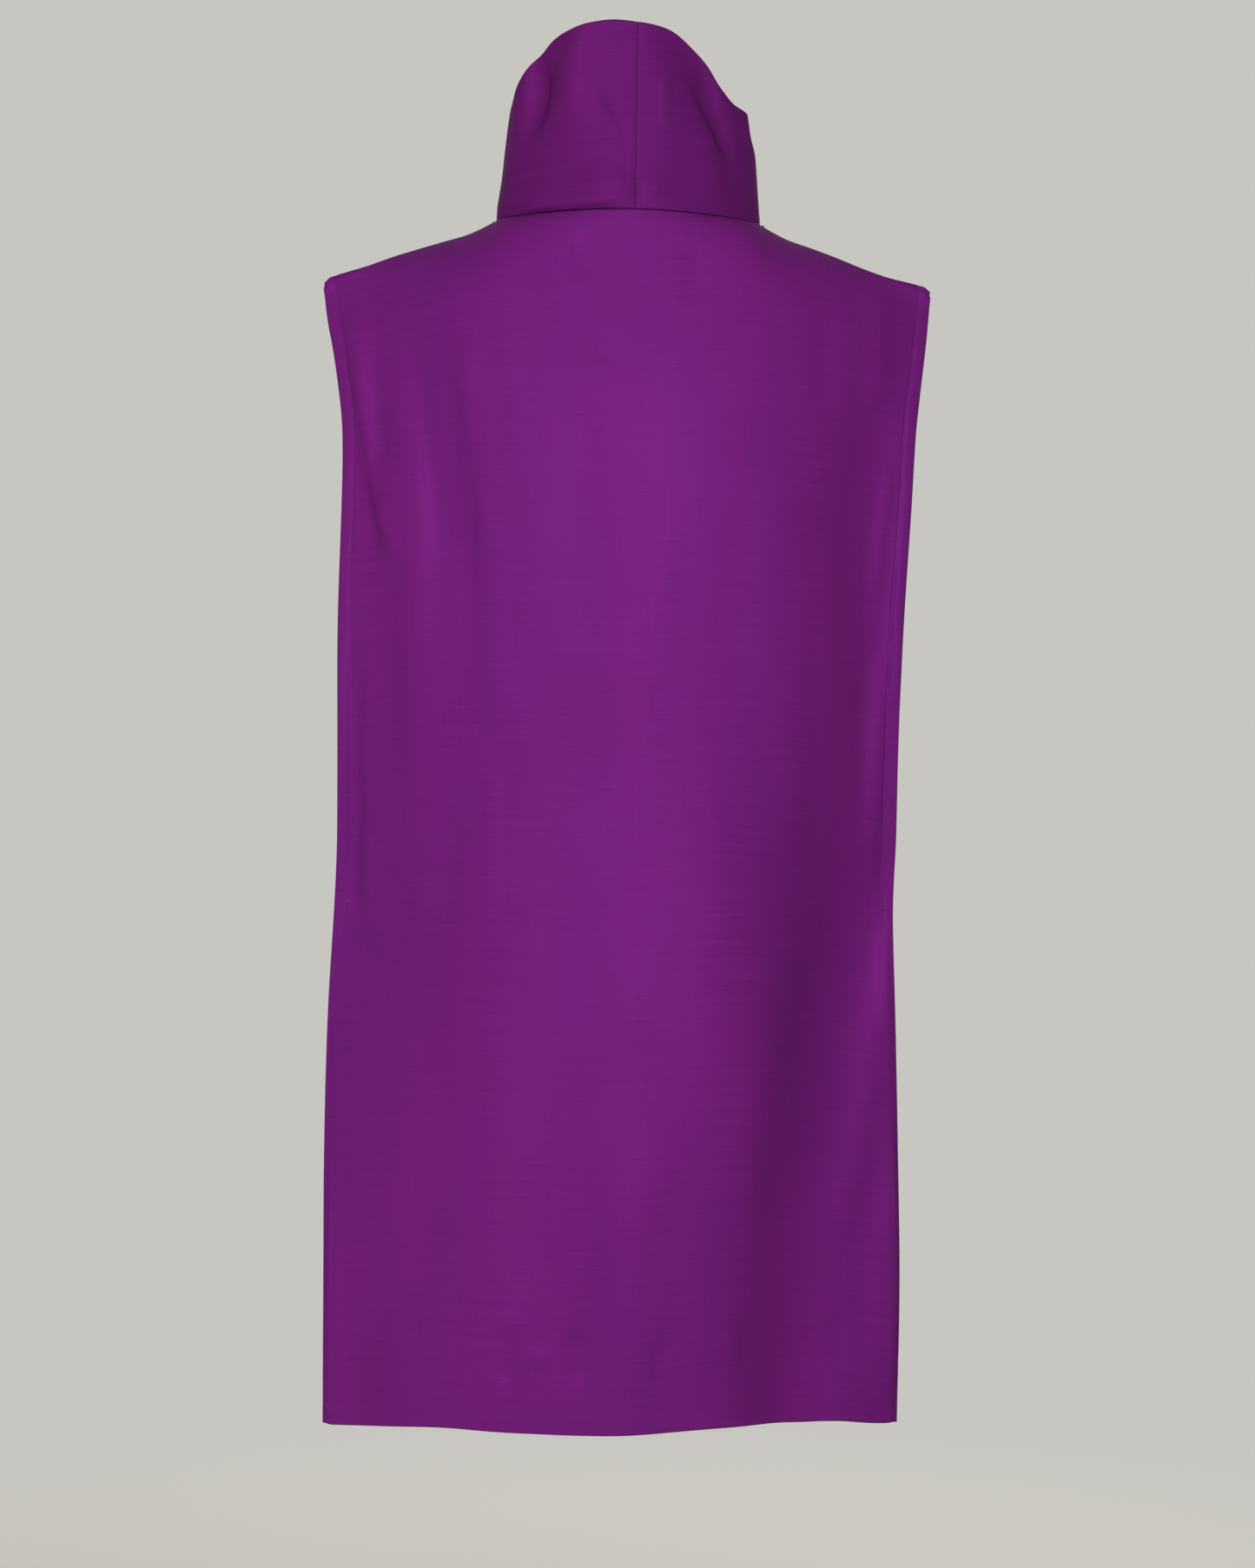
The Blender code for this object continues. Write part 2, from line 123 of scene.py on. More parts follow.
def edges_away(start, edges, count):
    """How many edges lie between each of a mesh's points and the nearest of some points."""
    steps = np.full(count, count)
    steps[start] = 0
    while True:
        nearer = steps.copy()
        np.minimum.at(nearer, edges[:, 0], steps[edges[:, 1]] + 1)
        np.minimum.at(nearer, edges[:, 1], steps[edges[:, 0]] + 1)
        if (nearer == steps).all():
            return steps
        steps = nearer


def thread_points(name, first_hand):
    """The points of a solid's outer face, in rows from its top edge down and, seen from outside, in columns
    from left to right, without the row where the hem's step begins.

    The first side edge lies towards first_hand, -1 for -X or 1 for +X.
    """
    # A point's column is the number of edges between it and the first side edge
    face = outer_face(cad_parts[name])
    places = np.array([vertex.co for vertex in face.data.vertices])
    edges = np.array([edge.vertices for edge in face.data.edges])
    uses = Counter(key for polygon in face.data.polygons for key in polygon.edge_keys)
    border = np.array([key for key, times in uses.items() if times == 1])
    spans = places[border[:, 1]] - places[border[:, 0]]
    sides = border[np.abs(spans[:, 2]) > STEEP_SIDE * np.hypot(spans[:, 0], spans[:, 1])].ravel()
    first = sides[(places[sides, 0] - np.mean(places[sides, 0])) * first_hand > 0]
    column = edges_away(first, edges, len(places))
    bpy.data.objects.remove(face)

    # Of two points of a column that are as near as a step is high, only the lower one is kept
    from_top = np.lexsort((-places[:, 2], column))
    places, column = places[from_top], column[from_top]
    apart = np.linalg.norm(np.diff(places, axis=0), axis=1) > STEP_HEIGHT
    kept = np.append(apart | (np.diff(column) > 0), True)
    assert np.ptp(np.bincount(column[kept])) == 0, f"columns of unequal length on {name}"
    return places[kept].reshape(column.max() + 1, -1, 3).transpose(1, 0, 2)


def finer(points, stops):
    """Points on smooth curves down a grid's columns. Stops count rows: 2.5 is half way from row 2 to 3."""
    stops = np.asarray(stops)
    chords = np.linalg.norm(np.diff(points, axis=0), axis=2)[..., None]
    slopes = np.diff(points, axis=0) / chords
    turns = np.empty_like(points)
    turns[1:-1] = (chords[1:] * slopes[:-1] + chords[:-1] * slopes[1:]) / (chords[1:] + chords[:-1])
    turns[0] = 2 * slopes[0] - turns[1]
    turns[-1] = 2 * slopes[-1] - turns[-2]
    low = np.minimum(stops.astype(int), len(points) - 2)
    part = (stops - low)[:, None, None]
    rest = 1 - part
    return (
        points[low] * (1 + 2 * part) * rest**2
        + points[low + 1] * (3 - 2 * part) * part**2
        + chords[low] * part * rest * (turns[low] * rest - turns[low + 1] * part)
    )


def finer_grid(points, rows, columns):
    """Points on such curves both ways, at stops counted in a grid's rows and in its columns."""
    return finer(finer(points, rows).transpose(1, 0, 2), columns).transpose(1, 0, 2)


def outward(points):
    """The unit normals of a grid of points, towards the outside of the dress."""
    normals = np.cross(np.gradient(points, axis=0), np.gradient(points, axis=1))
    return normals / np.linalg.norm(normals, axis=2)[..., None]


def ease(share):
    """A smooth step from 0 to 1, level at both ends."""
    share = np.clip(share, 0.0, 1.0)
    return share * share * (3 - 2 * share)


def ridge(aside, half_width):
    """The height of a soft ridge: 1 along its line, and next to nothing two half widths away."""
    return np.exp(-((aside / half_width) ** 2))


# A crease: a soft ridge (out above 0) or trough (out below 0) from one place to another, bowed to one side
Crease = namedtuple("Crease", "x_from z_from x_to z_to bow half_width out")
CREASE_END_SHARE = 0.35


def crease_relief(creases, x, z):
    """How far the creases push the cloth out, in metres."""
    relief = np.zeros_like(x)
    for crease in creases:
        run = np.array([crease.x_to - crease.x_from, crease.z_to - crease.z_from]) * MM
        length = np.hypot(*run)
        reach_x, reach_z = x - crease.x_from * MM, z - crease.z_from * MM
        along = (reach_x * run[0] + reach_z * run[1]) / length**2
        aside = (reach_x * run[1] - reach_z * run[0]) / length
        aside = aside - crease.bow * MM * 4 * along * (1 - along)
        ends = ease(along / CREASE_END_SHARE) * ease((1 - along) / CREASE_END_SHARE)
        relief += crease.out * MM * ends * ridge(aside, crease.half_width * MM)
    return relief


# Patches of unevenness: their width and height, and how far they lie from the others in the noise
Patches = namedtuple("Patches", "wide tall apart")


def uneven(x, z, patches, seed):
    """Smooth unevenness from about -1 to 1, in patches."""
    layer = seed + patches.apart
    pairs = zip(x.ravel() / patches.wide, z.ravel() / patches.tall)
    values = [noise.noise(Vector((across, up, layer))) for across, up in pairs]
    return np.array(values).reshape(x.shape)


def turned_depth(distance, radius):
    """How deep the cloth lies below its outer face at a distance from an edge that it rolls round."""
    near = np.clip(distance / radius, 0.0, 1.0)
    return radius * (1 - np.sqrt(1 - (1 - near) ** 2))


def mirrored(stops, last):
    """Stops from one edge, and the same ones from the other."""
    return stops + [last - stop for stop in reversed(stops)]


def panel_stops(points):
    """The rows and columns of the finished cloth, counted in the solid's."""
    last_row, last_column = points.shape[0] - 1, points.shape[1] - 1
    hem = last_row - HEM_ROWS
    rows = list(np.linspace(0, SHOULDER_ROWS, SHOULDER_ROWS * FINER_SHOULDER, endpoint=False))
    rows += list(np.linspace(SHOULDER_ROWS, hem, (hem - SHOULDER_ROWS) * FINER_ROWS, endpoint=False))
    rows += [hem]
    rows += [last_row - distance / HEM_TURNING * HEM_ROWS for distance in HEM_DISTANCES]
    edge = [distance / SIDE_TURNING for distance in SIDE_DISTANCES] + STEP_STOPS
    half = last_column // 2 - SIDE_COLUMNS
    inner = list(np.linspace(SIDE_COLUMNS, last_column // 2, half * FINER_COLUMNS, endpoint=False))
    columns = mirrored(edge + inner, last_column)
    columns.insert(len(columns) // 2, last_column / 2)
    return rows, columns


# Between the shoulders and the hem, the solid's folds are evened out from row to row
SOFTENED_BELOW = 0.012
SOFTENING_EASE = 0.03
SOFTENING_TURNS = 60

# How far from the seams and the edges the cloth is held still, and how uneven it is where it hangs free
SEAM_HOLDS = 0.012
SIDE_HOLDS = 0.03
SIDE_SEAM_HOLDS = 0.008
SLIT_EASE = 0.03
SOFT_UNEVENNESS = 0.0011
SOFT_PATCHES = Patches(0.05, 0.26, 0.0)
SMALL_UNEVENNESS = 0.00025
SMALL_PATCHES = Patches(0.022, 0.05, 10.0)

# The soft roll along the outer part of each shoulder seam, and the rounded shoulder tips
SHOULDER_FROM = 0.07
SHOULDER_EASE = 0.07
SHOULDER_CROWN = 0.001
SHOULDER_CROWN_AT = 0.006
SHOULDER_CROWN_WIDTH = 0.005
TIP_ROUNDING = 0.0065
TIP_DRAWN_IN = 0.001

# The armhole's band swells between its edge and its stitches, which pull the cloth in as the hem's do
BAND_CROWN = 0.0005
BAND_GROOVE = 0.0007
BAND_GROOVE_WIDTH = 0.0012
BAND_PATCHES = Patches(0.05, 0.018, 20.0)
HEM_STITCH_RISE = 0.047
HEM_GROOVE = 0.00025
HEM_GROOVE_WIDTH = 0.004
HEM_PUCKERS = 1.5
HEM_PATCHES = Patches(0.035, 0.05, 30.0)


def travelled(points, axis):
    """How far each point of a grid lies along the cloth from its first row (axis 0) or column (axis 1)."""
    steps = np.linalg.norm(np.diff(points, axis=axis), axis=2)
    return np.cumsum(np.insert(steps, 0, 0.0, axis=axis), axis=axis)


Panel = namedtuple("Panel", "points normals from_side from_top from_hem threads")


def hung_panel(name, first_hand, creases, seed):
    """The outer face of a panel as it hangs, with its creases, and its distances from its edges."""
    solid = thread_points(name, first_hand)
    points = finer_grid(solid, *panel_stops(solid))
    from_top = travelled(points, 0)
    from_hem = from_top[-1] - from_top
    loose = ease((from_top - SOFTENED_BELOW) / SOFTENING_EASE)
    loose *= ease((from_hem - HEM_TURNING) / SOFTENING_EASE)
    depth = points[..., 1]
    for turn in range(SOFTENING_TURNS):
        depth[1:-1] += loose[1:-1] * (depth[:-2] + depth[2:] - 2 * depth[1:-1]) / 4
    from_left = travelled(points, 1)
    from_side = np.minimum(from_left, from_left[:, -1:] - from_left)
    normals = outward(points)
    x, z = points[..., 0], points[..., 2]

    # The hang of the cloth: its creases, its unevenness and the roll of the shoulder
    free = ease(from_top / SEAM_HOLDS) * ease(from_side / SIDE_HOLDS)
    sewn = ease((SLIT_END - z) / SLIT_EASE)
    sewn_side = sewn * (1 - ease(from_side / SIDE_SEAM_HOLDS))
    relief = crease_relief(creases, x, z) * ease(from_top / SEAM_HOLDS) * (1 - sewn_side)
    relief += free * SOFT_UNEVENNESS * uneven(x, z, SOFT_PATCHES, seed)
    relief += free * SMALL_UNEVENNESS * uneven(x, z, SMALL_PATCHES, seed)
    roll = ridge(from_top - SHOULDER_CROWN_AT, SHOULDER_CROWN_WIDTH) * ease(from_top / SHOULDER_CROWN_AT)
    relief += SHOULDER_CROWN * roll * ease((np.abs(x) - SHOULDER_FROM) / SHOULDER_EASE)

    # The stitched edges: the armhole's band, down to the end of its slit, and the line of the hem
    in_band = from_side < SIDE_TURNING
    crown = np.sin(math.pi * np.clip(from_side / BAND_STITCH_INSET, 0, 1))
    relief += (1 - sewn) * in_band * BAND_CROWN * crown
    groove = ridge(from_side - BAND_STITCH_INSET, BAND_GROOVE_WIDTH)
    pull = 1 + uneven(x, z, BAND_PATCHES, seed)
    relief -= (1 - sewn) * groove * BAND_GROOVE * pull
    hem_line = ridge(from_hem - HEM_STITCH_RISE, HEM_GROOVE_WIDTH)
    relief -= hem_line * HEM_GROOVE * (1 + HEM_PUCKERS * uneven(x, z, HEM_PATCHES, seed))
    points = points + normals * relief[..., None]

    tip = (1 - ease(from_top / TIP_ROUNDING)) * (1 - ease(from_side / TIP_ROUNDING))
    points[..., 0] -= np.sign(x) * tip * TIP_DRAWN_IN
    points[..., 2] -= tip * TIP_DRAWN_IN
    middle = np.mean(from_left, axis=0)
    threads = np.stack([np.broadcast_to(middle - middle[-1] / 2, from_hem.shape), from_hem], axis=2)
    return Panel(points, outward(points), from_side, from_top, from_hem, threads)


def turn_edges(panel, side):
    """A panel's whole cloth: its face, its sides and its hem turned inside, and its top edge in the seams.

    The panel lies on one side of the middle, -1 for -Y or 1 for +Y, and no point of it crosses over.
    """
    from_side = np.mean(panel.from_side, axis=0)
    from_hem = np.mean(panel.from_hem, axis=1)
    from_top = np.mean(panel.from_top, axis=1)
    last_row, last_column = len(from_hem) - 1, len(from_side) - 1

    # Columns: one turned side, the face, and the other turned side
    turned = int(np.argmax(from_side > SIDE_TURNING - SAME_POINT))
    faces = np.arange(last_column + 1)
    columns = np.concatenate([np.arange(turned, 0, -1), faces, last_column - np.arange(1, turned + 1)])
    inside = np.ones(len(columns), dtype=bool)
    inside[turned : turned + len(faces)] = False
    column_depth = turned_depth(from_side, FOLD_RADIUS)[columns]
    column_depth[inside] = 2 * FOLD_RADIUS - column_depth[inside]
    column_reach = np.where(inside, from_side[columns], 0.0)

    # Rows: the top edge in its seams, the face, and the hem turned up
    hem_rows = int(last_row - np.argmax(from_hem < HEM_TURNING + SAME_POINT))
    back_rows = last_row - np.arange(1, hem_rows + 1)
    rows = np.concatenate([np.zeros(len(SEAM_DEPTHS), dtype=int), np.arange(last_row + 1), back_rows])
    seam_roll = turned_depth(from_top, SEAM_RADIUS)
    hem_depth = turned_depth(from_hem, FOLD_RADIUS)
    row_depth = np.concatenate([SEAM_DEPTHS, seam_roll + hem_depth, 2 * FOLD_RADIUS - hem_depth[back_rows]])
    row_reach = np.concatenate([SEAM_DEPTHS, np.zeros(last_row + 1), -2 * from_hem[back_rows]])
    depth = row_depth[:, None] + column_depth[None, :]
    points = panel.points[rows][:, columns] - panel.normals[rows][:, columns] * depth[..., None]
    points[..., 1] = side * np.maximum(side * points[..., 1], MIDDLE_GAP)
    threads = panel.threads[rows][:, columns].copy()
    threads[..., 0] += np.sign(threads[..., 0]) * 2 * column_reach
    threads[..., 1] += row_reach[:, None]
    return points, threads


def lay_cloth(name, points, threads):
    """A sheet of cloth through a grid of points, with its threads as its UV map, in metres across and up."""
    rows, columns = points.shape[:2]
    bpy.ops.object.select_all(action="DESELECT")
    bpy.ops.mesh.primitive_grid_add(x_subdivisions=columns - 1, y_subdivisions=rows - 1)
    cloth = bpy.context.object
    cloth.name = name
    mesh = cloth.data
    mesh.name = name
    mesh.vertices.foreach_set("co", points[::-1].ravel())
    corners = np.empty(len(mesh.loops), dtype=int)
    mesh.loops.foreach_get("vertex_index", corners)
    mesh.uv_layers[0].name = "threads"
    mesh.uv_layers[0].data.foreach_set("uv", threads[::-1].reshape(-1, 2)[corners].ravel())
    mesh.update()
    solidify = cloth.modifiers.new("thickness", "SOLIDIFY")
    solidify.thickness = SILK_THICKNESS
    solidify.offset = -1.0
    bpy.ops.object.modifier_apply(modifier=solidify.name)
    bpy.ops.object.shade_smooth()
    return cloth


PURPLE = (0.109, 0.0092, 0.121)
SHEEN = (0.5, 0.22, 0.56)

# The silk's threads and patches: how many to the metre, across the cloth and along it, and their finer detail
Streaks = namedtuple("Streaks", "across along detail")
WEFT = Streaks(16.0, 900.0, 3.0)
BROAD_WEFT = Streaks(5.0, 240.0, 2.0)
THICK_WEFT = Streaks(34.0, 620.0, 1.0)
WARP = Streaks(1300.0, 14.0, 2.0)
MOTTLING = Streaks(9.0, 4.0, 2.0)
TINT = Streaks(11.0, 2.5, 1.0)

# Most of a noise lies in its middle range, and thick threads are only its highest places
WHOLE = (0.0, 1.0)
MIDDLE_RANGE = (0.3, 0.7)
THICK_RANGE = (0.70, 0.80)

# How much lighter and darker they make the dye, and how far its hue turns, where 0.5 is the dye's own
WEFT_TONE = 0.055
BROAD_WEFT_TONE = 0.02
THICK_WEFT_TONE = 0.14
WARP_TONE = 0.03
MOTTLING_TONE = 0.04
HUES = (0.488, 0.505)

# The finish: how rough it is, how high the warp stands beside the weft, and the depth of the weave
ROUGHNESSES = (0.52, 0.60)
WARP_HEIGHT = 0.5
WEAVE_DEPTH = 0.0003


def slubbed_silk(name, colour):
    """Slubbed plain-weave silk: uneven thick threads across, fine even ones down, and a coloured sheen."""
    material = bpy.data.materials.new(name)
    material.use_nodes = True
    nodes, links = material.node_tree.nodes, material.node_tree.links
    shader = nodes["Principled BSDF"]
    threads = nodes.new("ShaderNodeUVMap")
    threads.uv_map = "threads"

    def noise_in(streaks):
        """Noise as threads or patches, with the sizes and the detail that streaks gives."""
        stretch = nodes.new("ShaderNodeMapping")
        stretch.inputs["Scale"].default_value = (streaks.across, streaks.along, 1.0)
        links.new(threads.outputs["UV"], stretch.inputs["Vector"])
        pattern = nodes.new("ShaderNodeTexNoise")
        pattern.inputs["Scale"].default_value = 1.0
        pattern.inputs["Detail"].default_value = streaks.detail
        pattern.inputs["Roughness"].default_value = 0.6
        links.new(stretch.outputs["Vector"], pattern.inputs["Vector"])
        return pattern.outputs["Fac"]

    def ranged(source, known, wanted):
        """A value brought from a known range to the wanted one, and held there."""
        change = nodes.new("ShaderNodeMapRange")
        change.inputs["From Min"].default_value, change.inputs["From Max"].default_value = known
        change.inputs["To Min"].default_value, change.inputs["To Max"].default_value = wanted
        links.new(source, change.inputs["Value"])
        return change.outputs["Result"]

    def lighter_and_darker(source, share, around=0.0):
        """What a noise adds to the tone: from a share below the value around which it lies to one above."""
        return ranged(source, MIDDLE_RANGE, (around - share, around + share))

    def combined(operation, first, second):
        """Two values added or subtracted."""
        sum_node = nodes.new("ShaderNodeMath")
        sum_node.operation = operation
        links.new(first, sum_node.inputs[0])
        links.new(second, sum_node.inputs[1])
        return sum_node.outputs["Value"]

    weft, warp = noise_in(WEFT), noise_in(WARP)
    thick = ranged(noise_in(THICK_WEFT), THICK_RANGE, WHOLE)
    weft_tone = combined(
        "ADD",
        lighter_and_darker(weft, WEFT_TONE),
        lighter_and_darker(noise_in(BROAD_WEFT), BROAD_WEFT_TONE),
    )
    ground_tone = combined(
        "ADD",
        lighter_and_darker(warp, WARP_TONE),
        lighter_and_darker(noise_in(MOTTLING), MOTTLING_TONE, around=1.0),
    )
    tone = combined("ADD", weft_tone, ground_tone)
    tone = combined("SUBTRACT", tone, ranged(thick, WHOLE, (0.0, THICK_WEFT_TONE)))
    dye = nodes.new("ShaderNodeHueSaturation")
    dye.inputs["Color"].default_value = (*colour, 1.0)
    links.new(ranged(noise_in(TINT), MIDDLE_RANGE, HUES), dye.inputs["Hue"])
    links.new(tone, dye.inputs["Value"])
    links.new(dye.outputs["Color"], shader.inputs["Base Color"])
    height = combined("ADD", combined("ADD", weft, ranged(warp, WHOLE, (0.0, WARP_HEIGHT))), thick)
    bump = nodes.new("ShaderNodeBump")
    bump.inputs["Strength"].default_value = 0.35
    bump.inputs["Distance"].default_value = WEAVE_DEPTH
    links.new(height, bump.inputs["Height"])
    links.new(bump.outputs["Normal"], shader.inputs["Normal"])
    links.new(ranged(weft, MIDDLE_RANGE, ROUGHNESSES), shader.inputs["Roughness"])
    shader.inputs["Metallic"].default_value = 0.2
    shader.inputs["Specular IOR Level"].default_value = 0.02
    shader.inputs["Specular Tint"].default_value = (*SHEEN, 1.0)
    return material


# The long creases, roughly from the left side to the right, then two at the neck and the puckers over the hem
BACK_CREASES = [
    Crease(-207.0, -40.0, -163.0, -276.0, 3.0, 9.0, 8.0),
    Crease(-164.0, -66.0, -130.0, -274.0, -3.0, 12.0, -4.8),
    Crease(-128.0, -44.0, -92.0, -300.0, -4.0, 14.0, 7.4),
    Crease(-138.0, -214.0, -121.0, -398.0, 2.0, 11.0, -1.2),
    Crease(-105.0, -212.0, -86.0, -408.0, -2.0, 14.0, 2.6),
    Crease(-99.0, -205.0, -91.0, -650.0, 0.0, 22.0, 4.6),
    Crease(-125.0, -376.0, -121.0, -548.0, 3.0, 13.0, -2.6),
    Crease(-98.0, -370.0, -93.0, -556.0, -2.0, 12.0, 2.6),
    Crease(-176.0, -296.0, -170.0, -536.0, 2.0, 12.0, -0.8),
    Crease(-200.0, -280.0, -199.0, -552.0, 0.0, 7.0, -4.2),
    Crease(-190.0, -446.0, -188.0, -520.0, 1.0, 5.0, 1.2),
    Crease(-195.0, -527.0, -195.0, -884.0, 4.0, 19.0, 2.5),
    Crease(-147.0, -515.0, -144.0, -876.0, -5.0, 24.0, -4.8),
    Crease(-216.0, -690.0, -215.0, -1010.0, 0.0, 8.0, 3.0),
    Crease(-60.0, -400.0, -58.0, -700.0, 3.0, 26.0, -0.9),
    Crease(-40.0, -90.0, -36.0, -430.0, 4.0, 34.0, 3.2),
    Crease(32.0, -370.0, 34.0, -690.0, -4.0, 28.0, 1.7),
    Crease(84.0, -370.0, 70.0, -700.0, 2.0, 28.0, 2.6),
    Crease(20.0, -620.0, 24.0, -950.0, 5.0, 30.0, 6.0),
    Crease(90.0, -650.0, 84.0, -930.0, -3.0, 24.0, -2.1),
    Crease(120.0, -112.0, 112.0, -410.0, 3.0, 20.0, 2.2),
    Crease(185.0, -30.0, 185.0, -150.0, -2.0, 11.0, 3.6),
    Crease(150.0, -34.0, 146.0, -156.0, 2.0, 12.0, -2.2),
    Crease(199.0, -158.0, 187.0, -294.0, 2.0, 4.0, 2.0),
    Crease(142.0, -266.0, 141.0, -534.0, -3.0, 12.0, -1.7),
    Crease(175.0, -276.0, 176.0, -532.0, 2.0, 11.0, 1.2),
    Crease(204.0, -330.0, 201.0, -528.0, 0.0, 7.0, -3.4),
    Crease(194.0, -290.0, 190.0, -522.0, 1.0, 5.0, 1.4),
    Crease(163.0, -500.0, 124.0, -796.0, 4.0, 32.0, -5.6),
    Crease(206.0, -512.0, 170.0, -784.0, -3.0, 15.0, 4.8),
    Crease(136.0, -650.0, 130.0, -945.0, 4.0, 32.0, -7.0),
    Crease(210.0, -650.0, 204.0, -945.0, -2.0, 15.0, 6.0),
    Crease(210.0, -600.0, 212.0, -985.0, 0.0, 8.0, 2.2),
    Crease(-33.0, -8.0, -28.0, -50.0, 2.0, 9.0, -1.8),
    Crease(49.0, -14.0, 46.0, -70.0, -2.0, 8.0, -1.5),
    Crease(-150.0, -796.0, -146.0, -856.0, 1.0, 7.0, -2.6),
    Crease(-80.0, -812.0, -77.0, -872.0, -1.0, 6.0, -2.4),
    Crease(-26.0, -812.0, -20.0, -866.0, 1.0, 6.0, -2.4),
    Crease(1.0, -822.0, 2.0, -862.0, 0.0, 5.0, -1.2),
    Crease(37.0, -814.0, 34.0, -872.0, -1.0, 7.0, -1.5),
    Crease(106.0, -812.0, 104.0, -862.0, 1.0, 8.0, -1.8),
    Crease(172.0, -812.0, 175.0, -868.0, 1.0, 6.0, -1.8),
    Crease(-60.0, -838.0, -46.0, -846.0, 0.0, 7.0, 1.2),
]

back = hung_panel("back_panel", first_hand=-1, creases=BACK_CREASES, seed=3.0)
back_points, back_threads = turn_edges(back, side=-1.0)
back_panel = lay_cloth("back_panel_silk", back_points, back_threads)
silk = slubbed_silk("slubbed_purple_silk", PURPLE)
back_panel.data.materials.append(silk)
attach(back_panel, "root")
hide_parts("back_panel")


# Front panel
# Cut from the same silk as the back is, but with a lower neck. It hangs in front of the wearer and is sewn
# to the back panel along the shoulders and along the sides, from the hem up to the slits.

# The long creases, then the puckers over the hem
FRONT_CREASES = [
    Crease(-160.0, -95.0, -142.0, -430.0, -7.0, 14.0, 1.8),
    Crease(150.0, -60.0, 118.0, -210.0, 5.0, 14.0, -2.0),
    Crease(-146.0, -55.0, -120.0, -190.0, -5.0, 13.0, -1.8),
    Crease(196.0, -110.0, 176.0, -300.0, 5.0, 9.0, -2.0),
    Crease(-192.0, -340.0, -188.0, -505.0, 2.0, 6.0, 1.6),
    Crease(176.0, -520.0, 182.0, -800.0, 8.0, 16.0, 1.8),
    Crease(-36.0, -62.0, -48.0, -170.0, 4.0, 14.0, -1.6),
    Crease(44.0, -66.0, 60.0, -190.0, -5.0, 16.0, -1.6),
    Crease(-120.0, -812.0, -117.0, -862.0, 0.0, 11.0, -1.2),
    Crease(-58.0, -818.0, -60.0, -866.0, 0.0, 10.0, -1.0),
    Crease(14.0, -814.0, 16.0, -862.0, 0.0, 11.0, -1.1),
    Crease(92.0, -816.0, 90.0, -866.0, 0.0, 10.0, -1.1),
    Crease(164.0, -812.0, 166.0, -860.0, 0.0, 11.0, -1.3),
]

front = hung_panel("front_panel", first_hand=1, creases=FRONT_CREASES, seed=7.0)
front_points, front_threads = turn_edges(front, side=1.0)
front_panel = lay_cloth("front_panel_silk", front_points, front_threads)
front_panel.data.materials.append(silk)
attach(front_panel, "root")
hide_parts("front_panel")


# Collar
# A tall funnel of the same silk, folded double at its top edge and stiffened. Its two ends meet in the seam
# at the centre back, and its lower edge goes into the neck seam.

COLLAR_FINER_ROWS = 6
COLLAR_SPACING = 0.0032
COLLAR_DOUBLED = 0.002

# Distances from the rim, the neck seam and the centre seam where the cloth gets a row or a column of its own
RIM_DISTANCES = [0.0, 0.0002, 0.0006, 0.001, 0.002, 0.0035]
NECK_DISTANCES = [0.004, 0.0022, 0.0012, 0.0006, 0.0002, 0.0]
SEAM_DISTANCES = [0.0, 0.0001, 0.0003, 0.0008, 0.0016, 0.0028, 0.0042, 0.006, 0.0085]

# The centre seam is a groove between two rolled ends, and the neck seam is closed
CENTRE_SEAM_RADIUS = 0.0003
CENTRE_SEAM_GROOVE = 0.0006
CENTRE_SEAM_GROOVE_WIDTH = 0.0024
CENTRE_SEAM_EASE = 0.004
NECK_SEAM_CLOSE = 0.0005

# How near the seams the creases fade, and how much of the rim keeps its outline, seen from behind
CREASES_NEAR_NECK = 0.006
CREASES_NEAR_SEAM = 0.005
RIM_HOLDS = 0.03
RIM_HELD_TO = 0.105
RIM_HELD_EASE = 0.02
COLLAR_UNEVENNESS = 0.0006
COLLAR_PATCHES = Patches(0.03, 0.05, 0.0)
# The collar's dye: the panels' purple made darker, as painted shade where the collar turns away from the
# light
PURPLE_DARKENED_AS_PAINTED_SHADE = (0.084, 0.0068, 0.091)

# In a collar crease, x counts millimetres of cloth round from the centre back, and z is the height
COLLAR_CREASES = [
    Crease(-85.0, 186.0, -84.0, 40.0, 0.0, 15.0, -6.5),
    Crease(-42.0, 196.0, -52.0, 56.0, 0.0, 13.0, 5.0),
    Crease(-66.0, 168.0, -66.0, 62.0, 1.0, 6.0, -1.4),
    Crease(-38.0, 100.0, -4.0, 44.0, 2.0, 6.0, -1.8),
    Crease(-100.0, 8.0, -4.0, 14.0, 7.0, 9.0, 3.2),
    Crease(-34.0, 42.0, -6.0, 24.0, 0.0, 8.0, 1.3),
    Crease(20.0, 168.0, 92.0, 40.0, 4.0, 17.0, -5.6),
    Crease(46.0, 84.0, 72.0, 2.0, 2.0, 14.0, 2.4),
    Crease(22.0, 112.0, 22.0, 58.0, 1.0, 4.0, 1.0),
    Crease(106.0, 112.0, 104.0, 40.0, 0.0, 11.0, -2.2),
    Crease(140.0, 104.0, 140.0, 50.0, 0.0, 18.0, -4.0),
    Crease(-120.0, 84.0, -134.0, 10.0, 5.0, 11.0, -2.0),
    Crease(142.0, 72.0, 152.0, -8.0, -5.0, 12.0, -2.0),
    Crease(190.0, 40.0, 176.0, -30.0, 4.0, 12.0, -1.8),
    Crease(-196.0, 40.0, -184.0, -32.0, -4.0, 12.0, -1.8),
    Crease(-150.0, -18.0, -60.0, 6.0, 4.0, 8.0, 1.2),
    Crease(60.0, 4.0, 150.0, -20.0, -4.0, 8.0, 1.2),
]

